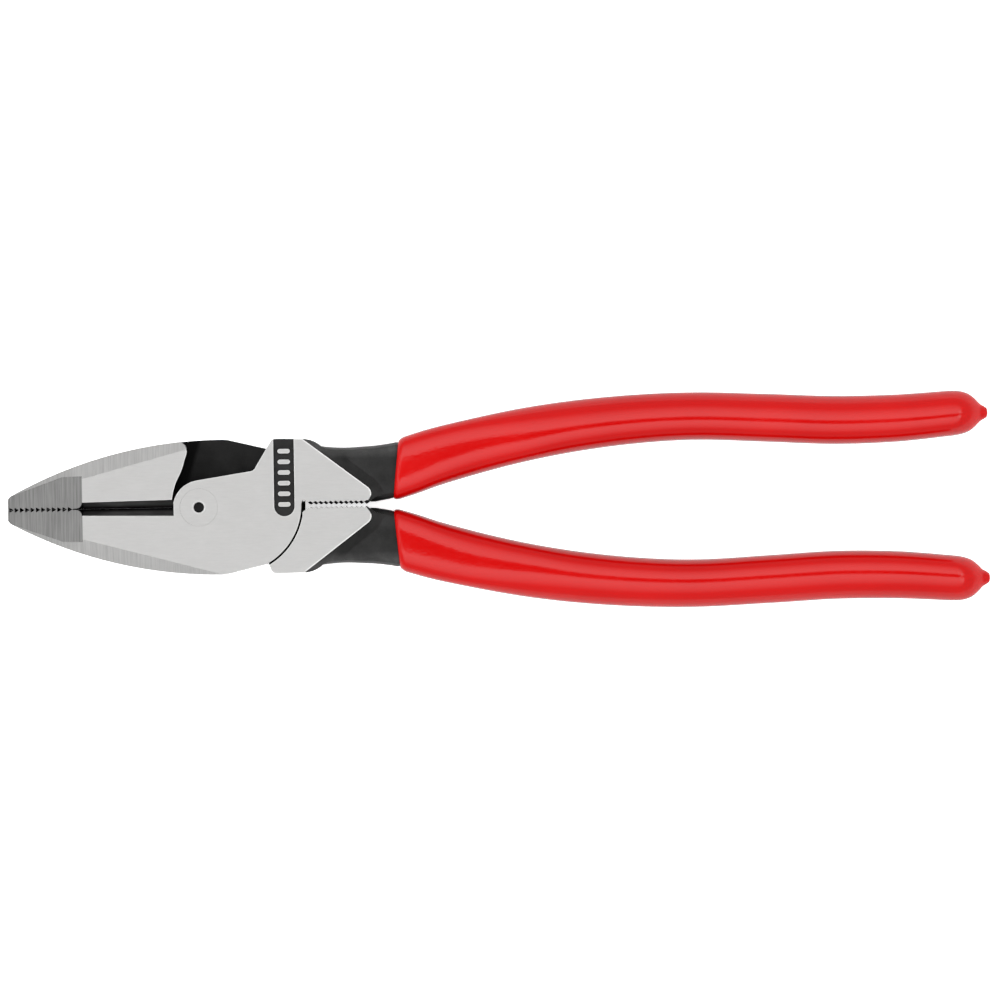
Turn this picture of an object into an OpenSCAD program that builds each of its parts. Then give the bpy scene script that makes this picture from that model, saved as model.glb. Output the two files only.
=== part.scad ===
// Lineman pliers: two forged levers that cross in a lap joint, a flush rivet and two dipped grips.
//
// Millimetres. X runs along the tool from the jaw tips to the handle ends, Y across it, Z up.
// The tool lies flat. The origin is on the rivet axis, in the plane of the head's lower face.
// The levers are one forging used twice: the rear one is the front one turned over about X.
// The lever is drawn about its mid plane, so its two ground faces are at +head_t / 2 and -head_t / 2.

/* [Head] */
// Thickness between the two ground faces of the head
head_t = 15.6; // [15:0.2:17]
// Distance from the rivet axis to the flat end of the jaws
tip_reach = 46.75; // [46:0.25:48]
// Half the width of the head where it is widest
head_half_w = 16.5; // [16.3:0.1:16.7]
// Radius of the long arc down the outside of each jaw
flank_r = 107.5; // [106:0.5:109]
// Slack between the two half-thick laps
lap_gap = 0.16; // [0.1:0.02:0.3]
// Gap between the rim of a lap and the other lever's shoulder
shoulder_gap = 0.5; // [0.3:0.05:0.6]
// Gap between the closed jaws
jaw_gap = 0.12; // [0.08:0.02:0.2]

/* [Jaws] */
// Where the flat taper of the tip begins, measured from the rivet axis
tip_zone = 28.4; // [28:0.1:29.5]
// Depth of the small step where that taper begins
tip_step = 0.35; // [0.2:0.05:0.5]
// Slope of the taper on each face of the tip, in degrees
tip_taper = 7; // [4:0.5:9]
// Slope of the ground bevels on the outside of the jaws, in degrees
bevel_slope = 28; // [20:1:35]
// Pitch of the gripping teeth at the tip
tip_pitch = 1.31; // [1.2:0.01:1.4]
// Depth of the gripping teeth at the tip
tip_tooth = 0.6; // [0.3:0.05:0.7]
// Where the cutter ends, measured from the rivet axis
cutter_end = 6.15; // [6:0.05:6.3]
// Half the width of the cutter's trough at the ground face, at its end by the rivet
trough_half_w = 2; // [1.8:0.05:2.3]
// The same at its end by the tip
trough_tip_half_w = 1.65; // [1.5:0.05:2]

/* [Rivet] */
// Radius of the rivet's flush head
rivet_head_r = 4.57; // [4.3:0.01:4.8]
// Radius of the rivet's shank
rivet_shank_r = 3.6; // [3.2:0.1:3.8]
// Running clearance round the rivet in the front lever, on the radius
rivet_play = 0.05; // [0.03:0.01:0.08]
// Radius of the punch dimple in each end of the rivet
dimple_r = 1.28; // [1:0.02:1.5]

/* [Panel] */
// Width of the coined panel on the shoulder
panel_w = 5; // [4.6:0.1:5.4]
// Depth of the coined panel
panel_depth = 0.5; // [0.3:0.05:0.8]
// Number of raised ribs in the panel
rib_count = 6; // [4:1:7]

/* [Handles] */
// Thickness of the forged handle inside the grip
core_t = 12.2; // [11.8:0.1:12.4]
// Thickness of the dipped coat
coat_t = 1; // [0.8:0.05:1.2]
// Where the grip begins, measured from the rivet axis
grip_start = 48.2; // [48:0.1:49]
// Where the forged handle ends inside the grip
core_end = 186; // [184:1:187]
// Where the grip ends, at the tip of its drip nub
grip_end = 193.3; // [193:0.1:194]
// Pitch of the pulling teeth between the handles
pull_pitch = 1.24; // [1.2:0.01:1.3]
// Depth of the pulling teeth
pull_tooth = 0.46; // [0.4:0.02:0.7]

/* [Hidden] */

half_t = head_t / 2;
far = 60; // reach of the cutting tools past the steel

// Jaw
flank_centre = [5.4, flank_r - head_half_w];
tip_corner = [-tip_reach, -2.6];
flank_from = -tip_reach + 0.6;
flank_to = 5.6;
lap_knee = [7, -16.4];
lap_foot = [16.5, -14.1];
jaw_rear = [[-6.6, -1.9], [-5.7, -5.6], [-4.2, -8.8], [-3.3, -11.6], [-2.75, -13.7], [-3.3, -15.6]];
bevel_line = [[-26, -8], [4, -16]];
tip_bevel_line = [[-15.6, -4.2], [-2.6, -8.7]]; // from the step, along the taper
cutter_root = [0.2, 3]; // where the steep wall turns into the cutting bevel, in from the trough's edge
tip_teeth = 12;

// Lap
boss_centre = [0.57, -0.29];
boss_r = 6.93;
boss_line_angle = 9.1;
rim_centre = [8.32, 0.55];
rim_r = 16.7;
rim_from = -60.9;
notch_knee = [[14.1, 9.8], [13.75, 9.15], [13.3, 8.78], [12.7, 8.6]];
notch_top = [17.45, 15.35];

// Handle root: outer edge from the shoulder round to where the tang covers it
root_outer = [
    [18, 16.25], [18.6, 16.4], [19.4, 16.45], [26.2, 16.3], [27.4, 16.05], [28.4, 15.6], [29.4, 14.95],
    [30.2, 14.3], [31.4, 13.8], [33, 13.6], [46, 13.6]
];
root_inner = [[46, 2.6], [43, 1.8], [41.9, 1]];
heel = [[17, 14.38], [17.5, 15.75]];
wedge = [[25.25, 1.35], [25.95, 1.3]]; // the gap that opens where the rim meets the handle
shoulder_corner = [[26.4, 0.75], [26, 1.02], [25.5, 1.33], [25.27, 1.65]]; // from the teeth to the rim

// Ground face of the root, and the slope that runs down to the tang
face_corner = [20.85, 20];
face_nose = [40, 2.7];
face_nose_r = 2;
ramp_run = 3.5;
ramp_drop = 2.3;

// Handle: Y of its middle, and its half width, by X
handle_axis = [
    [29, 8.65], [32, 8.3], [36, 8.2], [40, 7.95], [42, 7.55], [44, 7.75], [48, 8.45], [60, 12.03],
    [80, 16.6], [100, 19.38], [120, 20.46], [140, 19.71], [156, 18.96], [172, 19.24], [186, 20.25],
    [194, 20.2]
];
core_half_w = [
    [29, 6.05], [32, 6], [36, 5.9], [40, 6.35], [42, 6.85], [44, 6.85], [48, 6.75], [60, 6.21],
    [80, 5.63], [100, 5.15], [120, 4.86], [150, 4.92], [170, 4.82], [194, 4.4]
];
core_from = 29;
core_corner = 4.5; // superellipse power of the forged section
grip_corner = 3; // superellipse power of the dipped section
cap_len = 8; // length of the rounded end of the grip, without its nub
nub_r = 1.8;
ring_points = 24;

// Pulling teeth: those of the lap's half stand back from those of the other half
pull_from = 26.6;
pull_teeth = 12;
pull_front = 0.69;
pull_back = 0.24;

// Rivet
rivet_cone_h = 1.1;
dimple_depth = 1.4;
dimple_rim = 0.36;

// Panel
panel_x = 20.9;
panel_foot = -2.5;
rib_w = 3;
rib_h = 1.1;
rib_pitch = 2.6;
rib_first = 0.4;

steel = "#cfcecb";
red = "#d42624";

// ---- curves ----

// Points on an arc about c, from angle a to angle b, in n steps
function arc(c, r, a, b, n) = [for (i = [0:n]) let(t = a + (b - a) * i / n) c + r * [cos(t), sin(t)]];

// Index of the stretch of knots k that holds x
function stretch(k, x, i = 0) = i >= len(k) - 2 || x < k[i + 1][0] ? i : stretch(k, x, i + 1);

// Slope of a smooth curve at knot i
function knot_slope(k, i) =
    let(a = max(i - 1, 0), b = min(i + 1, len(k) - 1))
    (k[b][1] - k[a][1]) / (k[b][0] - k[a][0]);

// Value at x of the smooth curve through the knots k
function curve(k, x) =
    let(i = stretch(k, x), h = k[i + 1][0] - k[i][0], t = (x - k[i][0]) / h)
    (1 + 2 * t) * pow(1 - t, 2) * k[i][1] + t * t * (3 - 2 * t) * k[i + 1][1]
        + h * t * pow(1 - t, 2) * knot_slope(k, i) - h * t * t * (1 - t) * knot_slope(k, i + 1);

// A smooth line through the points p, with n steps in each stretch
function through(p, n) = [
    for (i = [0:len(p) - 2], j = [0:n - 1])
        let(
            a = p[max(i - 1, 0)], b = p[i], c = p[i + 1], d = p[min(i + 2, len(p) - 1)], t = j / n
        )
        (2 * b + (c - a) * t + (2 * a - 5 * b + 4 * c - d) * t * t
            + (3 * b - a - 3 * c + d) * t * t * t) / 2
];

// Point on the jaw's outer flank at x
function flank(x) = [x, flank_centre[1] - sqrt(flank_r * flank_r - pow(x - flank_centre[0], 2))];

// ---- the forging in plan ----

// The flank from the tip to the widest point of the head
flank_points = [for (i = [0:26]) flank(flank_from + (flank_to - flank_from) * i / 26)];

// The jaw's meeting edge: saw teeth at the tip, the flared throat, then the cutter's edge
jaw_edge = concat(
    [[-tip_reach, -jaw_gap / 2]],
    [for (i = [0:tip_teeth - 1]) let(x = -tip_reach + 0.3 + i * tip_pitch)
        each [[x, -jaw_gap / 2], [x + 0.1, -tip_tooth], [x + 1.17, -jaw_gap / 2]]],
    [[-tip_zone - 2.35, -0.15], [-tip_zone - 1.2, -0.22], [-tip_zone - 0.7, -0.45], [-tip_zone - 0.35, -0.9],
        [-tip_zone - 0.1, -1.5], [-tip_zone - 0.1, -jaw_gap / 2]]
);

// A row of pulling teeth with their tips at height y
function pull_row(y, shift) = [
    for (i = [0:pull_teeth - 1]) let(x = pull_from + shift + i * pull_pitch)
        each [[x, y], [x + pull_pitch / 2, y + pull_tooth]]
];

// The same points in the opposite order
function back_to_front(p) = [for (i = [len(p) - 1:-1:0]) p[i]];

// Jaw, lap and handle root of the half that carries the lap
module lap_half_plan() {
    polygon(concat(
        back_to_front(jaw_edge), [tip_corner],
        flank_points,
        [lap_knee, lap_foot],
        arc(rim_centre, rim_r, rim_from, 0, 20),
        wedge,
        pull_row(pull_front, 0),
        back_to_front(root_inner),
        back_to_front(root_outer),
        [notch_top],
        notch_knee,
        arc(boss_centre, boss_r, 90 + boss_line_angle, 178, 12)
    ));
}

// Jaw of the other half, which stops short of the lap
module jaw_plan() {
    polygon(concat(
        back_to_front(jaw_edge), [tip_corner],
        [for (p = flank_points) if (p[0] < -3.5) p],
        back_to_front(through(jaw_rear, 3)),
        [[-6.6, -jaw_gap / 2]]
    ));
}

// Handle root of the other half, hollowed round the rim of the other lever's lap
module root_plan() {
    polygon(concat(
        heel,
        root_outer,
        root_inner,
        back_to_front(pull_row(pull_back, pull_pitch / 2)),
        shoulder_corner,
        arc([rim_centre[0], -rim_centre[1]], rim_r + shoulder_gap, 9.4, -rim_from - 1, 20)
    ));
}

// The ground face in plan, wide open over the head; grow widens its far end
module face_plan(grow) {
    hull() {
        translate([-far, -face_corner[1]]) square([far + face_corner[0] + 5, 1]);
        translate(face_corner + grow * [0.62, 0.78] - [0.5, 0.5]) circle(r = 0.5, $fn = 16);
        translate([-far, face_corner[1]]) square([1, 1]);
        translate(face_nose) circle(r = face_nose_r + grow, $fn = 32);
    }
}

// ---- the forging in the round ----

// A closed skin over a list of rings of points, with a flat cap at each end
module skin(rings) {
    n = len(rings[0]);
    m = len(rings);
    sides = [
        for (i = [0:m - 2], j = [0:n - 1])
            let(k = (j + 1) % n)
            each [[i * n + j, (i + 1) * n + k, i * n + k], [i * n + j, (i + 1) * n + j, (i + 1) * n + k]]
    ];
    caps = [[for (j = [0:n - 1]) j], [for (j = [n - 1:-1:0]) (m - 1) * n + j]];
    polyhedron([for (ring = rings) each ring], concat(sides, caps), convexity = 6);
}

// A rounded section of the handle at x, with half width w and half thickness t
function section(x, w, t, power) = [
    for (j = [0:ring_points - 1])
        let(a = 360 * (j + 0.5) / ring_points, c = cos(a), s = sin(a))
        [
            x,
            curve(handle_axis, x) + w * sign(c) * pow(abs(c), 2 / power),
            t * sign(s) * pow(abs(s), 2 / power)
        ]
];

function core_section(x) = section(x, curve(core_half_w, x), core_t / 2, core_corner);

// Where the handle's sections lie: close together over the bends at its root
core_stations = concat(
    [for (x = [core_from:1:47]) x], [grip_start], [for (x = [52:6:178]) x], [core_end]
);

module handle_core() {
    skin([for (x = core_stations) core_section(x)]);
}

// A cut above a plane that holds the line p, q and falls away beyond it
module bevel_cut(p, q, slope) {
    translate([p[0], p[1], 0])
        rotate([0, 0, atan2(q[1] - p[1], q[0] - p[0])])
            rotate([slope, 0, 0])
                translate([-far, -far, 0]) cube([2 * far, 2 * far, far / 2]);
}

// Ground taper and bevels on the upper face of the jaw
module jaw_face_cuts() {
    translate([0, 0, half_t]) bevel_cut(bevel_line[0], bevel_line[1], bevel_slope);
    translate([-tip_zone, 0, half_t - tip_step]) rotate([0, -tip_taper, 0]) {
        translate([-far, -far, 0]) cube([far, 2 * far, far / 2]);
        bevel_cut(tip_bevel_line[0], tip_bevel_line[1], bevel_slope + tip_taper);
    }
}

// The trough above the cutting edge: a steep wall, then the cutting bevel
module cutter_cut() {
    skin([trough_section(-tip_zone - 0.2, trough_tip_half_w), trough_section(-cutter_end, trough_half_w)]);
}

// The trough's section at x, with half width w, drawn a little past the jaws' meeting face
function trough_section(x, w) =
    let(land = 0.05, past = 1, top = half_t + 1)
    [[x, past, land], [x, past, top], [x, -w, top], [x, cutter_root[0] - w, cutter_root[1]],
        [x, -jaw_gap / 2, land]];

// The coined panel, open at the shoulder's outer edge, with its raised ribs left standing
module panel_cut() {
    translate([0, 0, half_t - panel_depth]) linear_extrude(height = panel_depth + 1) difference() {
        union() {
            translate([panel_x, panel_foot + panel_w / 2]) circle(d = panel_w, $fn = 48);
            translate([panel_x - panel_w / 2, panel_foot + panel_w / 2]) square([panel_w, far / 3]);
        }
        for (i = [0:rib_count - 1])
            translate([panel_x, rib_first + i * rib_pitch]) rib_plan();
    }
}

// A short raised rib with round ends
module rib_plan() {
    reach = (rib_w - rib_h) / 2;
    translate([-reach, -rib_h / 2]) square([2 * reach, rib_h]);
    for (side = [-1, 1]) translate([side * reach, 0]) circle(d = rib_h, $fn = 24);
}

// The rivet's outline turned about its axis; grow widens it, reach is half its length
module rivet_form(grow, reach) {
    head = rivet_head_r + grow;
    shank = rivet_shank_r + grow;
    cone = half_t - rivet_cone_h;
    rotate_extrude($fn = 96) polygon([
        [0, -reach], [head, -reach], [head, -cone - 0.35], [shank, -cone + 0.6],
        [shank, cone - 0.6], [head, cone + 0.35], [head, reach], [0, reach]
    ]);
}

// The body within which both halves lie: flat over the head, sloping down to the tang
module face_form() {
    skim = 0.01;
    hull() {
        for (side = [-1, 1]) {
            translate([0, 0, side * (half_t - skim) - skim]) linear_extrude(height = 2 * skim)
                face_plan(0);
            translate([0, 0, side * (half_t - ramp_drop) - skim]) linear_extrude(height = 2 * skim)
                face_plan(ramp_run);
        }
    }
}

// The blocks of the forging, without the handle: the lap's half above the other one
module head_blocks() {
    translate([0, 0, lap_gap / 2]) linear_extrude(height = half_t - lap_gap / 2) lap_half_plan();
    translate([0, 0, -half_t]) linear_extrude(height = half_t + lap_gap / 2) jaw_plan();
    translate([0, 0, -half_t]) linear_extrude(height = half_t + lap_gap / 2) root_plan();
}

// One lever, drawn about its mid plane. bore_play is the slack round the rivet.
module lever(bore_play) {
    difference() {
        union() {
            intersection() {
                head_blocks();
                face_form();
            }
            handle_core();
        }
        jaw_face_cuts();
        mirror([0, 0, 1]) jaw_face_cuts();
        cutter_cut();
        mirror([0, 0, 1]) cutter_cut();
        panel_cut();
        rivet_form(bore_play, half_t + 1);
    }
}

// ---- the grip ----

// Half width and half thickness of the grip at x: the forging plus the coat, closing at the end
function grip_size(x) =
    let(
        cap_from = grip_end - 1.3 - cap_len,
        s = max(0, min(1, (x - cap_from) / cap_len)),
        close = sqrt(1 - s * s),
        nub = x >= grip_end - 0.01 ? 0.35 : x >= grip_end - 0.9 ? 0.8 : 1
    )
    [
        max((curve(core_half_w, x) + coat_t) * close, nub_r * nub),
        max((core_t / 2 + coat_t) * close, nub_r * nub)
    ];

function grip_section(x) =
    let(size = grip_size(x), fade = max(0, min(1, (grip_end - x) / 8)))
    section(x, size[0], size[1], 2 + (grip_corner - 2) * fade);

// The lip: the mouth of the coat, a little narrower than the coat behind it
function lip_section(x, part) =
    section(x, curve(core_half_w, x) + coat_t * part, core_t / 2 + coat_t * part, grip_corner + 0.8);

grip_stations = concat(
    [for (x = [52:6:178]) x], [182, 184, 186, 188, 189.5, 190.7, 191.6, 192.4, grip_end]
);

module grip() {
    skin(concat(
        [for (x = back_to_front(core_stations)) if (x >= grip_start) core_section(x)],
        [lip_section(grip_start, 0.5), lip_section(grip_start + 0.8, 0.9)],
        [for (x = grip_stations) grip_section(x)]
    ));
}

// ---- the nodes ----

module front_lever() {
    color(steel) translate([0, 0, half_t]) lever(rivet_play);
}

module rear_lever() {
    color(steel) translate([0, 0, half_t]) rotate([180, 0, 0]) lever(0);
}

module rivet() {
    color("#c4c3c0") translate([0, 0, half_t]) difference() {
        rivet_form(0, half_t);
        for (side = [-1, 1]) scale([1, 1, side]) translate([0, 0, half_t - dimple_depth]) {
            cylinder(r = dimple_r, h = dimple_depth + 1, $fn = 48);
            translate([0, 0, dimple_depth - dimple_rim])
                cylinder(r1 = dimple_r, r2 = dimple_r + dimple_rim * 2, h = dimple_rim * 2, $fn = 48);
        }
    }
}

module upper_grip() {
    color(red) translate([0, 0, half_t]) grip();
}

module lower_grip() {
    color(red) translate([0, 0, half_t]) rotate([180, 0, 0]) grip();
}

front_lever();
rear_lever();
rivet();
upper_grip();
lower_grip();
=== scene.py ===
"""Looks of the lineman pliers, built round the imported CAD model.

The two levers follow the CAD's form: each is a cleaned copy of its node with broken edges and its jaw drawn
shut, and it is slimmer where the coat hides it. Each face gets the finish of its place on the forging.
The grips and the rivet are modelled here in full.
Lengths are millimetres in the modelling code, and MM turns them into Blender's metres.
"""

from math import atan2, copysign, cos, degrees, pi, radians, sin, sqrt

import bmesh
import bpy
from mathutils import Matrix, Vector


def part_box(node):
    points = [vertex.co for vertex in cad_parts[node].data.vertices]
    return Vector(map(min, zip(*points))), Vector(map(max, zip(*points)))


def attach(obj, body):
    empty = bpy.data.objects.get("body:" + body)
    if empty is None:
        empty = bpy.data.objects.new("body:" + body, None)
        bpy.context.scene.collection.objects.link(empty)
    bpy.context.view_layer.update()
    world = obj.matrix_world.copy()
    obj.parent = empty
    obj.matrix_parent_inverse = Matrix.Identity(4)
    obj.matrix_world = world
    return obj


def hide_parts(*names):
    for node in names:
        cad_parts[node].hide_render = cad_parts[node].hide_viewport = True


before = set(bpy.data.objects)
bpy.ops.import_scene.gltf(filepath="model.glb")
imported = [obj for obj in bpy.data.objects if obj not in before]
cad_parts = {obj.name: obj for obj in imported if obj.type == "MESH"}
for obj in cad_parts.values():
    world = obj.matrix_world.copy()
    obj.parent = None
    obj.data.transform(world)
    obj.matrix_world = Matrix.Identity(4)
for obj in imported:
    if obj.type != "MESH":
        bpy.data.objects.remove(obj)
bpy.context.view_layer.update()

MM = 0.001

# The head
HALF_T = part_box("rivet")[1].z / MM / 2
TIP_REACH = -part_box("front_lever")[0].x / MM
TIP_ZONE = 28.4  # where the taper of the tip begins
CUTTER_END = 6.15
JAW_GAP = 0.12  # between the closed jaws of the CAD
SHUT_GAP = 0.008  # the same gap as it is drawn here
EDGE_BREAK = 0.12  # width of the broken edges of the ground faces

# Where the finishes of a lever change, by X
JAW_TO = 8
SHOULDER_FROM, SHOULDER_TO = 12, 26.3
PANEL_FROM, PANEL_TO = 18, 24
PANEL_DEPTH_LIMIT = 1  # the panel's floor is less than this below the ground face
TANG_FROM = 26

# Black sheets of painted shade at the mid plane, closing gaps that are open on the real tool: how far they
# reach behind the tip teeth, and the outline of the one at the top of the seam
SHADE_SHEET_REACH = 0.7
THROAT_REACH = 1.9
SEAM_SHADE_SHEET = [(24.9, -1.1), (24.9, 1.8), (25.85, 1.8), (25.85, -1.1)]

# The rear wall of each jaw meets the middle at WALL_FOOT; the band of painted shade beside it fades over
# BAND_W
WALL_FOOT = -6.9
WALL_SLANT = 0.31
BAND_W = (1.7, 2.7)

# The rivet, swaged out into half of its running clearance
RIVET_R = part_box("rivet")[1].x / MM + 0.025
DIMPLE_R = 1.28
DIMPLE_RIM = 0.36
DIMPLE_DEPTH = 1.4

# The coat of the grips, and how its section changes along the handle
COAT_T = 1.0
HIDDEN_CORE = 0.8  # size of the forging inside the coat, as a share of its real size
GRIP_RING_REACH = cos(pi / 24) ** (2 / 3)  # how far a CAD ring's points reach, as a share of its half width
SECTION_POINTS = 96
SECTION_POWER = [(46, 4.0), (66, 3.1), (81, 2.65), (92, 2.4), (130, 2.35), (194, 2.3)]
CROWN_SHIFT = [(46, 0), (54, 0.1), (66, 0.45), (81, -0.4), (92, -0.45), (194, -0.5)]
MOUTH_SLANT = 0.1
MOUTH_LEN = 7
LIP_LEN = 1.8
RING_STEP = 1.2
# How far the grip has closed, by distance from its end: the ogive, the neck, then the round of the drip
END_FORM = [
    (0.55, 0.235), (1.0, 0.295), (1.45, 0.335), (1.95, 0.40), (2.8, 0.565), (3.7, 0.715), (4.7, 0.835),
    (6.0, 0.925), (7.6, 0.98), (9.6, 1.0),
]


# ---- curves ----

def curve(knots, x):
    """Value at x of a smooth curve through the knots."""
    i = 0
    while i < len(knots) - 2 and x >= knots[i + 1][0]:
        i += 1

    def slope(k):
        a, b = knots[max(k - 1, 0)], knots[min(k + 1, len(knots) - 1)]
        return (b[1] - a[1]) / (b[0] - a[0])

    h = knots[i + 1][0] - knots[i][0]
    t = (x - knots[i][0]) / h
    return (
        (1 + 2 * t) * (1 - t) ** 2 * knots[i][1]
        + t * t * (3 - 2 * t) * knots[i + 1][1]
        + h * t * (1 - t) ** 2 * slope(i)
        - h * t * t * (1 - t) * slope(i + 1)
    )


def smooth(a, b, x):
    """0 at a, 1 at b, and a smooth step between them."""
    t = min(max((x - a) / (b - a), 0), 1)
    return t * t * (3 - 2 * t)


# ---- materials ----

class Nodes:
    """A material's node tree, with short calls for the nodes used here."""

    def __init__(self, name):
        self.material = bpy.data.materials.new(name)
        self.material.use_nodes = True
        self.tree = self.material.node_tree
        self.shader = self.tree.nodes["Principled BSDF"]

    def node(self, kind, **settings):
        made = self.tree.nodes.new(kind)
        for key, value in settings.items():
            setattr(made, key, value)
        return made

    def link(self, source, target):
        self.tree.links.new(source, target)

    def place(self, stretch):
        """Object coordinates, scaled by stretch along X, Y and Z."""
        place = self.node("ShaderNodeTexCoord")
        mapping = self.node("ShaderNodeMapping")
        mapping.inputs["Scale"].default_value = stretch
        self.link(place.outputs["Object"], mapping.inputs["Vector"])
        return mapping.outputs["Vector"]

    def noise(self, stretch, detail=3, roughness=0.5):
        """Noise with stretch waves to the metre along X, Y and Z."""
        made = self.node("ShaderNodeTexNoise")
        made.inputs["Scale"].default_value = 1
        made.inputs["Detail"].default_value = detail
        made.inputs["Roughness"].default_value = roughness
        self.link(self.place(stretch), made.inputs["Vector"])
        return made.outputs["Fac"]

    def axis(self, name, vector=None):
        """One axis of a vector, or of the object coordinates."""
        if vector is None:
            vector = self.place((1, 1, 1))
        made = self.node("ShaderNodeSeparateXYZ")
        self.link(vector, made.inputs["Vector"])
        return made.outputs[name]

    def size(self, value):
        """A value without its sign."""
        made = self.node("ShaderNodeMath", operation="ABSOLUTE")
        self.link(value, made.inputs[0])
        return made.outputs["Value"]

    def between(self, value, low, high, to_low, to_high):
        """A value mapped from low..high to to_low..to_high, and held at those ends."""
        made = self.node("ShaderNodeMapRange")
        for key, number in (("From Min", low), ("From Max", high), ("To Min", to_low), ("To Max", to_high)):
            made.inputs[key].default_value = number
        self.link(value, made.inputs["Value"])
        return made.outputs["Result"]

    def ramp(self, value, stops):
        """A colour by a value from 0 to 1. stops is a list of (value, colour)."""
        made = self.node("ShaderNodeValToRGB")
        ramp = made.color_ramp
        while len(ramp.elements) < len(stops):
            ramp.elements.new(0.5)
        for element, (place, colour) in zip(ramp.elements, stops):
            element.position = place
            element.color = (*colour, 1)
        self.link(value, made.inputs["Fac"])
        return made.outputs["Color"]

    def add(self, a, b, weight):
        """a + b * weight"""
        made = self.node("ShaderNodeMath", operation="MULTIPLY_ADD")
        made.inputs[1].default_value = weight
        self.link(b, made.inputs[0])
        self.link(a, made.inputs[2])
        return made.outputs["Value"]

    def times(self, a, b):
        made = self.node("ShaderNodeMath", operation="MULTIPLY")
        self.link(a, made.inputs[0])
        self.link(b, made.inputs[1])
        return made.outputs["Value"]

    def bump(self, height, distance):
        made = self.node("ShaderNodeBump")
        made.inputs["Distance"].default_value = distance
        self.link(height, made.inputs["Height"])
        self.link(made.outputs["Normal"], self.shader.inputs["Normal"])

    def set(self, **values):
        """Constant values on the shader's own sockets."""
        for key, value in values.items():
            self.shader.inputs[key.replace("_", " ")].default_value = value


def grey(level, warm=0.006):
    """A grey, a little warmer than neutral."""
    return (level * (1 + warm), level, level * (1 - 2 * warm))


def brushed(name, levels, stretch, roughness, bump, metallic=1.0):
    """Ground steel. The brush lines lie along the directions in which stretch is small. A metallic below 1
    makes it partly diffuse, which the broken edges use for a painted highlight.
    """
    made = Nodes(name)
    made.set(Metallic=metallic)
    lines = made.noise(stretch, detail=6, roughness=0.66)
    cloud = made.noise((140, 140, 140), detail=2)
    mixed = made.add(lines, cloud, 0.2)
    made.link(made.ramp(mixed, [(0.35, grey(levels[0])), (0.85, grey(levels[1]))]),
              made.shader.inputs["Base Color"])
    made.link(made.between(lines, 0.3, 0.7, *roughness), made.shader.inputs["Roughness"])
    made.bump(lines, bump)
    return made.material


def oxide(name, levels, roughness, specular):
    """Blackened steel, nearly matt, with a fine grain and a soft mottle."""
    made = Nodes(name)
    made.set(Metallic=0.0, Specular_IOR_Level=specular)
    grain = made.noise((2600, 2600, 2600), detail=4, roughness=0.7)
    mottle = made.noise((260, 260, 260), detail=3)
    mixed = made.add(mottle, grain, 0.5)
    made.link(made.ramp(mixed, [(0.55, grey(levels[0])), (0.95, grey(levels[1]))]),
              made.shader.inputs["Base Color"])
    made.link(made.between(mixed, 0.55, 0.95, *roughness), made.shader.inputs["Roughness"])
    made.bump(made.add(grain, mottle, 0.8), 0.00002)
    return made


def darken(made, share):
    """Scales the base colour by share, a socket that runs from 0 to 1. The oxides use it to paint shade and
    reflection into their colour.
    """
    mix = made.node("ShaderNodeMix", data_type="RGBA")
    base = made.shader.inputs["Base Color"]
    mix.inputs["A"].default_value = (0.0005, 0.0005, 0.0005, 1)
    for source, target in ((share, mix.inputs["Factor"]), (base.links[0].from_socket, mix.inputs["B"])):
        made.link(source, target)
    made.link(mix.outputs["Result"], base)


def cutter_oxide_and_painted_shade():
    """The blackened walls of the cutter's trough, with painted shade: near black along the cutting edge, in
    the crease where the two jaws meet.
    """
    made = oxide("cutter_oxide_and_painted_shade", (0.045, 0.075), (0.34, 0.44), 0.2)
    # Painted shade: near black within 0.3 mm of the jaws' meeting line, fading back to the oxide's colour
    # by 0.9 mm.
    darken(made, made.between(made.size(made.axis("Y")), 0.3 * MM, 0.9 * MM, 0, 1))
    return made.material


def recess_oxide_and_painted_shade():
    """The blackened recesses, with painted shade: near black in a band along the jaws' rear walls, where
    the walls shade the recess floors.
    """
    made = oxide("black_oxide_and_painted_shade", (0.009, 0.014), (0.34, 0.44), 0.06)
    # Painted shade: near black ahead of each jaw's rear wall and up to 1.7 mm past it, fading back to the
    # oxide's colour by 2.7 mm.
    from_wall = made.add(made.axis("X"), made.size(made.axis("Y")), -WALL_SLANT)
    shade_from, shade_to = [(WALL_FOOT + width) * MM for width in BAND_W]
    darken(made, made.between(from_wall, shade_from, shade_to, 0, 1))
    return made.material


def tang_oxide_and_painted_reflection():
    """The blackened handles, with a painted reflection: lighter along their rounded outer edges, where the
    softbox would show in them, and darker along the middle.
    """
    made = oxide("tang_oxide_and_painted_reflection", (0.028, 0.052), (0.28, 0.36), 0.18)
    # Painted reflection: the colour is cut to a third up to 11.4 mm from the tool's axis and comes back in
    # full by 13.4 mm.
    darken(made, made.between(made.size(made.axis("Y")), 11.4 * MM, 13.4 * MM, 0.32, 1))
    return made.material


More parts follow.
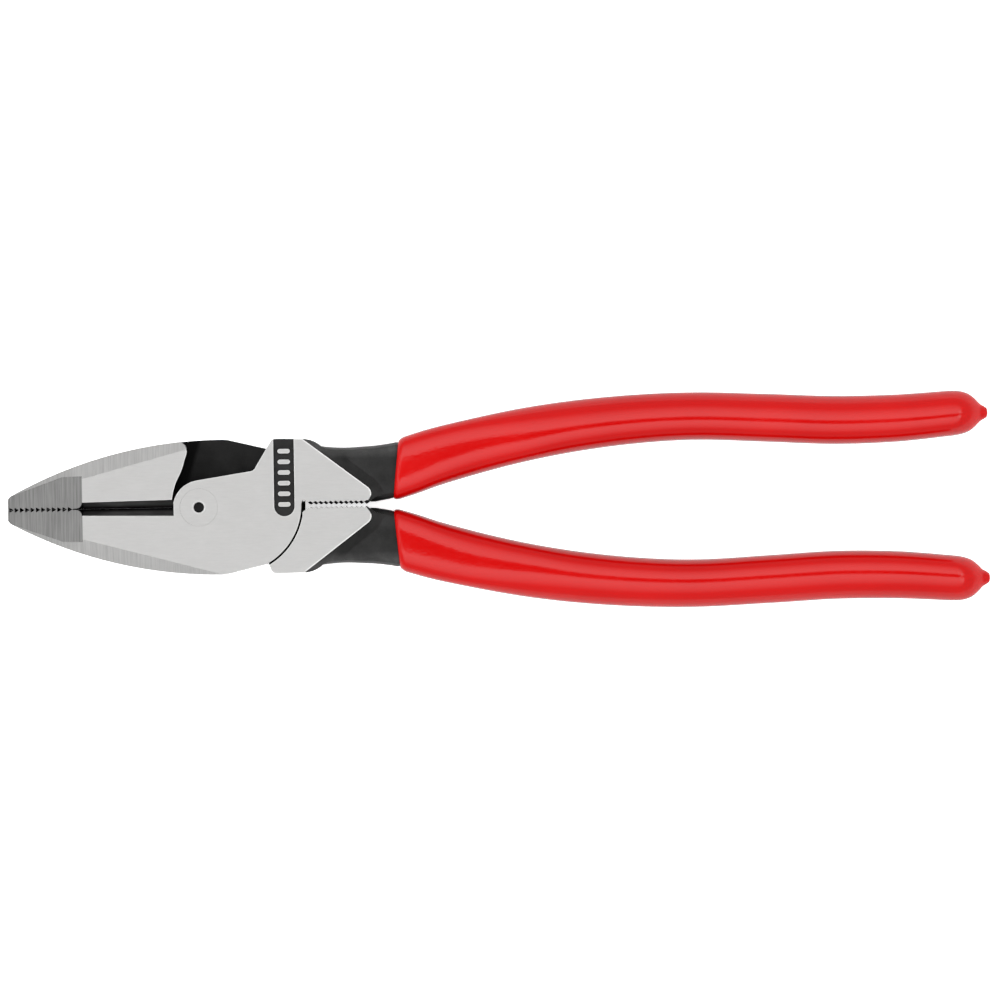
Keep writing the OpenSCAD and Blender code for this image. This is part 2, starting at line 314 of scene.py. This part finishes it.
def dipped_pvc():
    """Glossy dipped PVC: a faint orange peel, and pebbled on the flat behind its mouth."""
    made = Nodes("dipped_pvc")
    made.set(Metallic=0.0, Specular_IOR_Level=0.5)
    peel = made.noise((700, 900, 900), detail=2, roughness=0.45)
    cloud = made.noise((45, 60, 60), detail=2)
    mixed = made.add(cloud, peel, 0.2)
    made.link(made.ramp(mixed, [(0.35, (0.385, 0.0008, 0.0007)), (0.85, (0.43, 0.0014, 0.0012))]),
              made.shader.inputs["Base Color"])
    made.link(made.between(mixed, 0.35, 0.85, 0.11, 0.15), made.shader.inputs["Roughness"])
    along = made.axis("X")
    past_lip = made.between(along, 49.5 * MM, 50.5 * MM, 0, 1)
    near_mouth = made.between(along, 55 * MM, 105 * MM, 1, 0)
    level = made.size(made.axis("Z", made.node("ShaderNodeNewGeometry").outputs["Normal"]))
    on_flat = made.times(made.between(level, 0.988, 0.998, 0, 1), past_lip)
    pebbles = made.times(made.noise((1300, 1300, 1300), detail=2), made.times(near_mouth, on_flat))
    made.bump(made.add(peel, pebbles, 4), 0.000006)
    return made.material


GROUND, TAPER, BEVEL, FLANK, BLACK, CUTTER, PANEL, TANG, EDGE = range(9)
LEVER_FINISHES = [
    brushed("ground_steel", (0.595, 0.645), (420, 3000, 420), (0.32, 0.38), 0.000004),
    brushed("taper_steel", (0.19, 0.39), (2600, 60, 60), (0.33, 0.45), 0.000012),
    brushed("bevel_steel", (0.66, 0.90), (2300, 70, 70), (0.44, 0.54), 0.000008),
    brushed("flank_steel", (0.40, 0.58), (200, 200, 2600), (0.32, 0.44), 0.000008),
    recess_oxide_and_painted_shade(),
    cutter_oxide_and_painted_shade(),
    oxide("panel_oxide", (0.007, 0.015), (0.34, 0.44), 0.2).material,
    tang_oxide_and_painted_reflection(),
    # Painted highlight: the broken edges are half diffuse and light, so they show as bright rims under any
    # light.
    brushed("edge_steel_painted_highlight", (0.66, 0.74), (900, 900, 900), (0.40, 0.48), 0.000002, metallic=0.4),
]


# ---- meshes ----

def new_object(name, data):
    """An object in the scene that holds a mesh, a light or a camera."""
    made = bpy.data.objects.new(name, data)
    bpy.context.scene.collection.objects.link(made)
    return made


def new_mesh(name, made, materials, smooth_angle, flat=-1):
    """An object from a bmesh, shaded smooth where its faces meet below smooth_angle degrees.

    Faces with the material number flat keep a flat shading up to their borders.
    """
    for edge in made.edges:
        border = flat in [face.material_index for face in edge.link_faces]
        edge.smooth = edge.calc_face_angle(pi) < radians(smooth_angle) and not border
    for face in made.faces:
        face.smooth = True
    mesh = bpy.data.meshes.new(name)
    for material in materials:
        mesh.materials.append(material)
    made.to_mesh(mesh)
    made.free()
    if "custom_normal" in mesh.attributes:
        mesh.attributes.remove(mesh.attributes["custom_normal"])
    return new_object(name, mesh)


def lever_finish(normal, centre, turned):
    """Which finish a face of a lever has: an index into LEVER_FINISHES.

    Places are read in the front lever's frame about its mid plane, so the rear lever is turned back first.
    """
    n, c = normal.copy(), centre / MM - Vector((0, 0, HALF_T))
    if turned:
        n, c = Vector((n.x, -n.y, -n.z)), Vector((c.x, -c.y, -c.z))
    level = abs(c.z)
    tilt = degrees(atan2(sqrt(n.x * n.x + n.y * n.y), abs(n.z)))
    steep = tilt > 60
    if tilt < 1 and level > HALF_T - 0.02:
        return GROUND
    if c.x < -TIP_ZONE and tilt < 10:
        return TAPER
    if c.x < JAW_TO and 15 < tilt < 50 and level > 2.5 and c.y < -3:
        return BEVEL
    if steep and c.x < JAW_TO and n.y < -0.3 and c.y < -2:
        return FLANK
    if n.x < -0.9 and c.x < 0.1 - TIP_REACH:
        return FLANK
    if steep and SHOULDER_FROM < c.x < SHOULDER_TO and c.y > 13.5:
        return FLANK
    if c.x > TANG_FROM and c.y > 0:
        return TANG
    if -TIP_ZONE < c.x < -CUTTER_END and c.y > -2.2:
        return CUTTER
    if tilt < 1 and level > HALF_T - PANEL_DEPTH_LIMIT and PANEL_FROM < c.x < PANEL_TO:
        return PANEL
    return BLACK


def has_edge_broken(edge):
    """True for the long edges of the ground faces, away from the teeth."""
    if len(edge.link_faces) != 2 or edge.calc_face_angle() < radians(30):
        return False
    if GROUND not in [face.material_index for face in edge.link_faces]:
        return False
    middle = (edge.verts[0].co + edge.verts[1].co) / 2 / MM
    beside_teeth = middle.x > 24 and abs(middle.y) < 2.5
    round_rivet = middle.xy.length < RIVET_R + 0.2
    return middle.x > 0.5 - TIP_ZONE and not beside_teeth and not round_rivet


def shut_jaw(made):
    """Brings the jaw's meeting face up to the other jaw's, leaving no light between them."""
    for vertex in made.verts:
        if vertex.co.x < -CUTTER_END * MM and abs(vertex.co.y) < (JAW_GAP / 2 + 0.02) * MM:
            vertex.co.y = copysign(SHUT_GAP / 2 * MM, vertex.co.y)


def add_shade_sheet(made, corners, half_t, turned):
    """A thin black sheet at the mid plane, which stops light between two edges: painted shade in a gap that
    the real tool leaves open. corners is its outline.
    """
    side = -1 if turned else 1
    low, high = [
        [made.verts.new(Vector((x, side * y, HALF_T + z)) * MM) for x, y in corners]
        for z in (-half_t, half_t)
    ]
    count = len(corners)
    faces = [made.faces.new(low), made.faces.new(high)]
    faces += [made.faces.new((low[i], low[(i + 1) % count], high[(i + 1) % count], high[i]))
              for i in range(count)]
    for face in faces:
        face.material_index = BLACK
    bmesh.ops.recalc_face_normals(made, faces=faces)


def slim_handle(made):
    """Draws the forging's corners in, where the coat hides them, so that none shows through it."""
    start, _, middle, _ = grip_line()
    for vertex in made.verts:
        x = vertex.co.x / MM
        if x > start + 2:
            axis = Vector((x, copysign(curve(middle, x), vertex.co.y), HALF_T)) * MM
            vertex.co = axis + (vertex.co - axis) * HIDDEN_CORE


def lever(node, turned):
    """A copy of a CAD lever with whole flat faces, broken edges and a finish for every face."""
    made = bmesh.new()
    made.from_mesh(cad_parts[node].data)
    bmesh.ops.remove_doubles(made, verts=made.verts, dist=0.002 * MM)
    bmesh.ops.dissolve_limit(
        made, angle_limit=radians(0.4), verts=made.verts, edges=made.edges, use_dissolve_boundaries=False
    )
    for face in made.faces:
        face.material_index = lever_finish(face.normal, face.calc_center_median(), turned)
    bmesh.ops.bevel(
        made, geom=[edge for edge in made.edges if has_edge_broken(edge)], offset=EDGE_BREAK * MM,
        offset_type="OFFSET", segments=2, profile=0.5, affect="EDGES", clamp_overlap=False, material=EDGE
    )
    shut_jaw(made)
    slim_handle(made)
    # Painted shade: black sheets behind the tip teeth and, on the rear lever, at the top of the seam.
    tips, front, back = -SHUT_GAP / 2, 0.3 - TIP_REACH, 0.3 - TIP_ZONE
    add_shade_sheet(made, [(front, tips), (front, -SHADE_SHEET_REACH), (-TIP_ZONE - 1.2, -SHADE_SHEET_REACH),
                   (back, -THROAT_REACH), (back, tips)], 0.3, turned)
    if turned:
        add_shade_sheet(made, SEAM_SHADE_SHEET, 0.04, turned)
    return new_mesh(node + "_steel", made, LEVER_FINISHES, 20, flat=GROUND)


def lathe(name, profile, steps, materials, finish):
    """A profile of (radius, height) points turned about Z. finish gives a face's material by its radius."""
    made = bmesh.new()
    rows = []
    for radius, height in profile:
        if radius == 0:
            rows.append([made.verts.new((0, 0, height * MM))] * steps)
            continue
        rows.append([])
        for i in range(steps):
            a = 2 * pi * i / steps
            rows[-1].append(made.verts.new(Vector((radius * cos(a), radius * sin(a), height)) * MM))
    for a, b in zip(rows, rows[1:]):
        for i in range(steps):
            j = (i + 1) % steps
            corners = list(dict.fromkeys((a[i], a[j], b[j], b[i])))
            face = made.faces.new(corners)
            face.material_index = finish(face.calc_center_median())
    bmesh.ops.recalc_face_normals(made, faces=made.faces)
    return new_mesh(name, made, materials, 18, flat=0)


def rivet():
    """The flush rivet, with its edge broken and a chamfered punch dimple in each end. The dimple's
    chamfered rim takes the light edge finish, a painted highlight ring.
    """
    chamfer = 0.01
    dimple_top = DIMPLE_R + DIMPLE_RIM
    end = [
        (0, HALF_T - DIMPLE_DEPTH), (0.5 * DIMPLE_R, HALF_T - DIMPLE_DEPTH + 0.05),
        (DIMPLE_R - 0.12, HALF_T - DIMPLE_DEPTH + 0.25), (DIMPLE_R, HALF_T - DIMPLE_DEPTH + 0.5),
        (DIMPLE_R, HALF_T - DIMPLE_RIM), (dimple_top - 0.1, HALF_T - 0.05), (dimple_top, HALF_T),
        (RIVET_R - chamfer, HALF_T), (RIVET_R, HALF_T - chamfer), (RIVET_R, HALF_T - 0.7),
        (RIVET_R - 0.97, HALF_T - 1.7),
    ]
    profile = [(r, HALF_T + z) for r, z in end] + [(r, HALF_T - z) for r, z in reversed(end)]

    face_steel, dimple_black, rim_painted_highlight = range(3)

    def finish(centre):
        radius = centre.xy.length / MM
        if radius < DIMPLE_R + 0.01:
            return dimple_black
        return rim_painted_highlight if radius < dimple_top else face_steel

    # The dimple's rim gets the edge finish, whose light colour is a painted highlight ring.
    materials = [LEVER_FINISHES[GROUND], LEVER_FINISHES[BLACK], LEVER_FINISHES[EDGE]]
    return lathe("rivet_steel", profile, 96, materials, finish)


def grip_line():
    """Middle and half width of the upper grip by X, from the CAD grip's own rings, in millimetres."""
    rings = {}
    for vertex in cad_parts["upper_grip"].data.vertices:
        rings.setdefault(round(vertex.co.x / MM, 1), []).append(vertex.co.y / MM)
    line = [(x, (min(ys) + max(ys)) / 2, (max(ys) - min(ys)) / 2) for x, ys in sorted(rings.items())]
    start, end = line[0][0], line[-1][0]
    middle = [(x, y) for x, y, w in line]
    half_w = [(x, w / GRIP_RING_REACH) for x, y, w in line if start + 3 < x < end - 10]
    return start, end, middle, half_w


def section(x, middle, half_w, half_t, power, shift, slant, side):
    """A rounded section of a grip at x. Its crowns are shifted towards the tool's axis by -shift."""
    points = []
    for j in range(SECTION_POINTS):
        a = 2 * pi * (j + 0.5) / SECTION_POINTS
        across = copysign(abs(cos(a)) ** (2 / power), cos(a))
        up = copysign(abs(sin(a)) ** (2 / power), sin(a))
        y = half_w * across + shift * up * up
        points.append(Vector((x + slant * y, side * (middle + y), side * half_t * up + HALF_T)) * MM)
    return points


def grip_rings(side):
    """The grip's rings: inside its mouth, over the rolled lip, along the handle and round the drip nub."""
    start, end, middle, half_w = grip_line()
    low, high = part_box("upper_grip")
    half_t = (high.z - low.z) / 2 / MM
    rings = []

    def ring(x, grow=1.0, close=1.0, roundness=0.0):
        w = (curve(half_w, x) - COAT_T * (1 - grow)) * close
        t = (half_t - COAT_T * (1 - grow)) * close
        t += (w - t) * roundness
        power = curve(SECTION_POWER, x)
        power += (2 - power) * roundness
        shift = curve(CROWN_SHIFT, x) * (1 - roundness) * close
        slant = MOUTH_SLANT * (1 - smooth(start, start + MOUTH_LEN, x))
        rings.append(section(x, curve(middle, x), w, t, power, shift, slant, side))

    ring(start + 1.5, grow=-0.02)
    ring(start + 0.25, grow=0.02)
    lip_steps = 9
    for i in range(lip_steps + 1):
        a = pi / 2 * i / lip_steps
        ring(start + LIP_LEN * (1 - cos(a)), grow=0.06 + 0.94 * sin(a))
    from_end, to_end = END_FORM[-1][0], END_FORM[0][0]
    x = start + LIP_LEN + RING_STEP
    while x < end - from_end:
        ring(x)
        x += RING_STEP
    ogive_steps = 30
    for i in range(ogive_steps):
        d = from_end + (to_end - from_end) * i / ogive_steps
        ring(end - d, close=curve(END_FORM, d), roundness=smooth(from_end, 1.8, d))
    round_steps = 8
    for i in range(round_steps):
        a = pi / 2 * i / round_steps
        ring(end - to_end * (1 - sin(a)), close=END_FORM[0][1] * cos(a), roundness=1)
    return rings


def grip(node, side, material):
    """A dipped grip, closed at both ends. side is 1 for the upper one and -1 for the lower one."""
    made = bmesh.new()
    rows = [[made.verts.new(p) for p in ring] for ring in grip_rings(side)]
    for a, b in zip(rows, rows[1:]):
        for j in range(SECTION_POINTS):
            k = (j + 1) % SECTION_POINTS
            made.faces.new((a[j], a[k], b[k], b[j]))
    made.faces.new(rows[0])
    made.faces.new(rows[-1])
    bmesh.ops.recalc_face_normals(made, faces=made.faces)
    return new_mesh(node + "_pvc", made, [material], 50)


# ---- the object ----

pvc = dipped_pvc()
for node, piece, body, slot in (
    ("front_lever", lever("front_lever", False), "front", "forged_steel"),
    ("rear_lever", lever("rear_lever", True), "rear", "forged_steel"),
    ("rivet", rivet(), "rear", "rivet_steel"),
    ("upper_grip", grip("upper_grip", 1, pvc), "front", "dipped_grip"),
    ("lower_grip", grip("lower_grip", -1, pvc), "rear", "dipped_grip"),
):
    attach(piece, body)
    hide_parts(node)


# ---- the stage ----

TOOL_MIDDLE_X = 0.075
SOFTBOX_REACH = 1.5


def plane(name, low, high, height):
    """A flat rectangle between two corners at a height, in metres."""
    mesh = bpy.data.meshes.new(name)
    corners = [(low[0], low[1]), (high[0], low[1]), (high[0], high[1]), (low[0], high[1])]
    mesh.from_pydata([(x, y, height) for x, y in corners], [], [(0, 1, 2, 3)])
    return new_object(name, mesh)


def stage_floor():
    """A white table, lit a little from below. In reflections the room's grey stands for it."""
    floor = plane("floor", (-3, -3), (3, 3), -0.0002)
    paint = Nodes("floor_paint")
    paint.set(Base_Color=(0.93, 0.93, 0.93, 1), Roughness=0.9, Specular_IOR_Level=0.1,
              Emission_Color=(1, 1, 1, 1), Emission_Strength=0.65)
    floor.data.materials.append(paint.material)
    floor.visible_glossy = False


def unseen(piece):
    """Lights the scene and shows in reflections, but not in the camera."""
    piece.visible_camera = False


def softbox_glow():
    """Brightest beside the gap over the tool, and fading outwards."""
    made = Nodes("softbox_glow")
    fade = made.ramp(made.between(made.size(made.axis("Y")), 0, SOFTBOX_REACH, 0, 1),
                     [(0.0, grey(1.0, 0)), (0.18, grey(0.95, 0)), (0.42, grey(0.68, 0)),
                      (0.7, grey(0.36, 0)), (0.98, grey(0.22, 0))])
    glow = made.node("ShaderNodeEmission")
    glow.inputs["Strength"].default_value = 1.65
    made.link(fade, glow.inputs["Color"])
    made.link(glow.outputs["Emission"], made.tree.nodes["Material Output"].inputs["Surface"])
    return made.material


def stage_softboxes():
    """Two softboxes over the tool, with a dark gap between them along it."""
    height, gap = 1.0, 0.08
    start, end = -0.62, 1.6
    glow = softbox_glow()
    for name, low, high in (
        ("softbox_left", -SOFTBOX_REACH, -gap),
        ("softbox_right", gap, SOFTBOX_REACH),
    ):
        box = plane(name, (start, low), (end, high), height)
        box.data.materials.append(glow)
        unseen(box)
    card = plane("gap_card", (start, -1.5 * gap), (end, 1.5 * gap), height + 0.02)
    black = Nodes("card_black")
    black.set(Base_Color=(0.01, 0.01, 0.01, 1), Roughness=0.9, Specular_IOR_Level=0)
    card.data.materials.append(black.material)
    unseen(card)


def stage_fills():
    """A broad fill beyond each end of the tool. They stay out of the reflections."""
    for name, side in (("tip_fill", -1), ("handle_fill", 1)):
        light = bpy.data.lights.new(name, "AREA")
        light.shape = "RECTANGLE"
        light.size, light.size_y = 0.8, 0.5
        light.energy = 19.5
        made = new_object(name, light)
        made.location = (TOOL_MIDDLE_X + side * 1.05, 0, 0.95)
        aim = Vector((TOOL_MIDDLE_X, 0, 0)) - made.location
        made.rotation_euler = aim.to_track_quat("-Z", "Y").to_euler()
        made.visible_glossy = False


def stage_room():
    """An even grey room, lighter below the horizon, where the table would be."""
    world = bpy.context.scene.world or bpy.data.worlds.new("studio")
    bpy.context.scene.world = world
    world.use_nodes = True
    tree = world.node_tree
    place = tree.nodes.new("ShaderNodeTexCoord")
    split = tree.nodes.new("ShaderNodeSeparateXYZ")
    level = tree.nodes.new("ShaderNodeMapRange")
    for key, number in (("From Min", -0.05), ("From Max", 0.02), ("To Min", 0.68), ("To Max", 0.38)):
        level.inputs[key].default_value = number
    tree.links.new(place.outputs["Generated"], split.inputs["Vector"])
    tree.links.new(split.outputs["Z"], level.inputs["Value"])
    tree.links.new(level.outputs["Result"], tree.nodes["Background"].inputs["Strength"])
    tree.nodes["Background"].inputs["Color"].default_value = (1, 1, 1, 1)


def stage_camera():
    """Straight down on the middle of the tool, rolled a little, far away with a long lens."""
    distance, width, face_z = 2.0, 0.24465, 0.0105
    camera = bpy.data.cameras.new("camera")
    camera.sensor_width = 36
    camera.lens = camera.sensor_width * distance / width
    camera.clip_end = 20
    made = new_object("camera", camera)
    made.location = (0.07353, 0.00065, face_z + distance)
    made.rotation_euler = (0, 0, radians(-0.90))
    bpy.context.scene.camera = made


stage_floor()
stage_softboxes()
stage_fills()
stage_room()
stage_camera()
bpy.context.scene.view_settings.view_transform = "Standard"
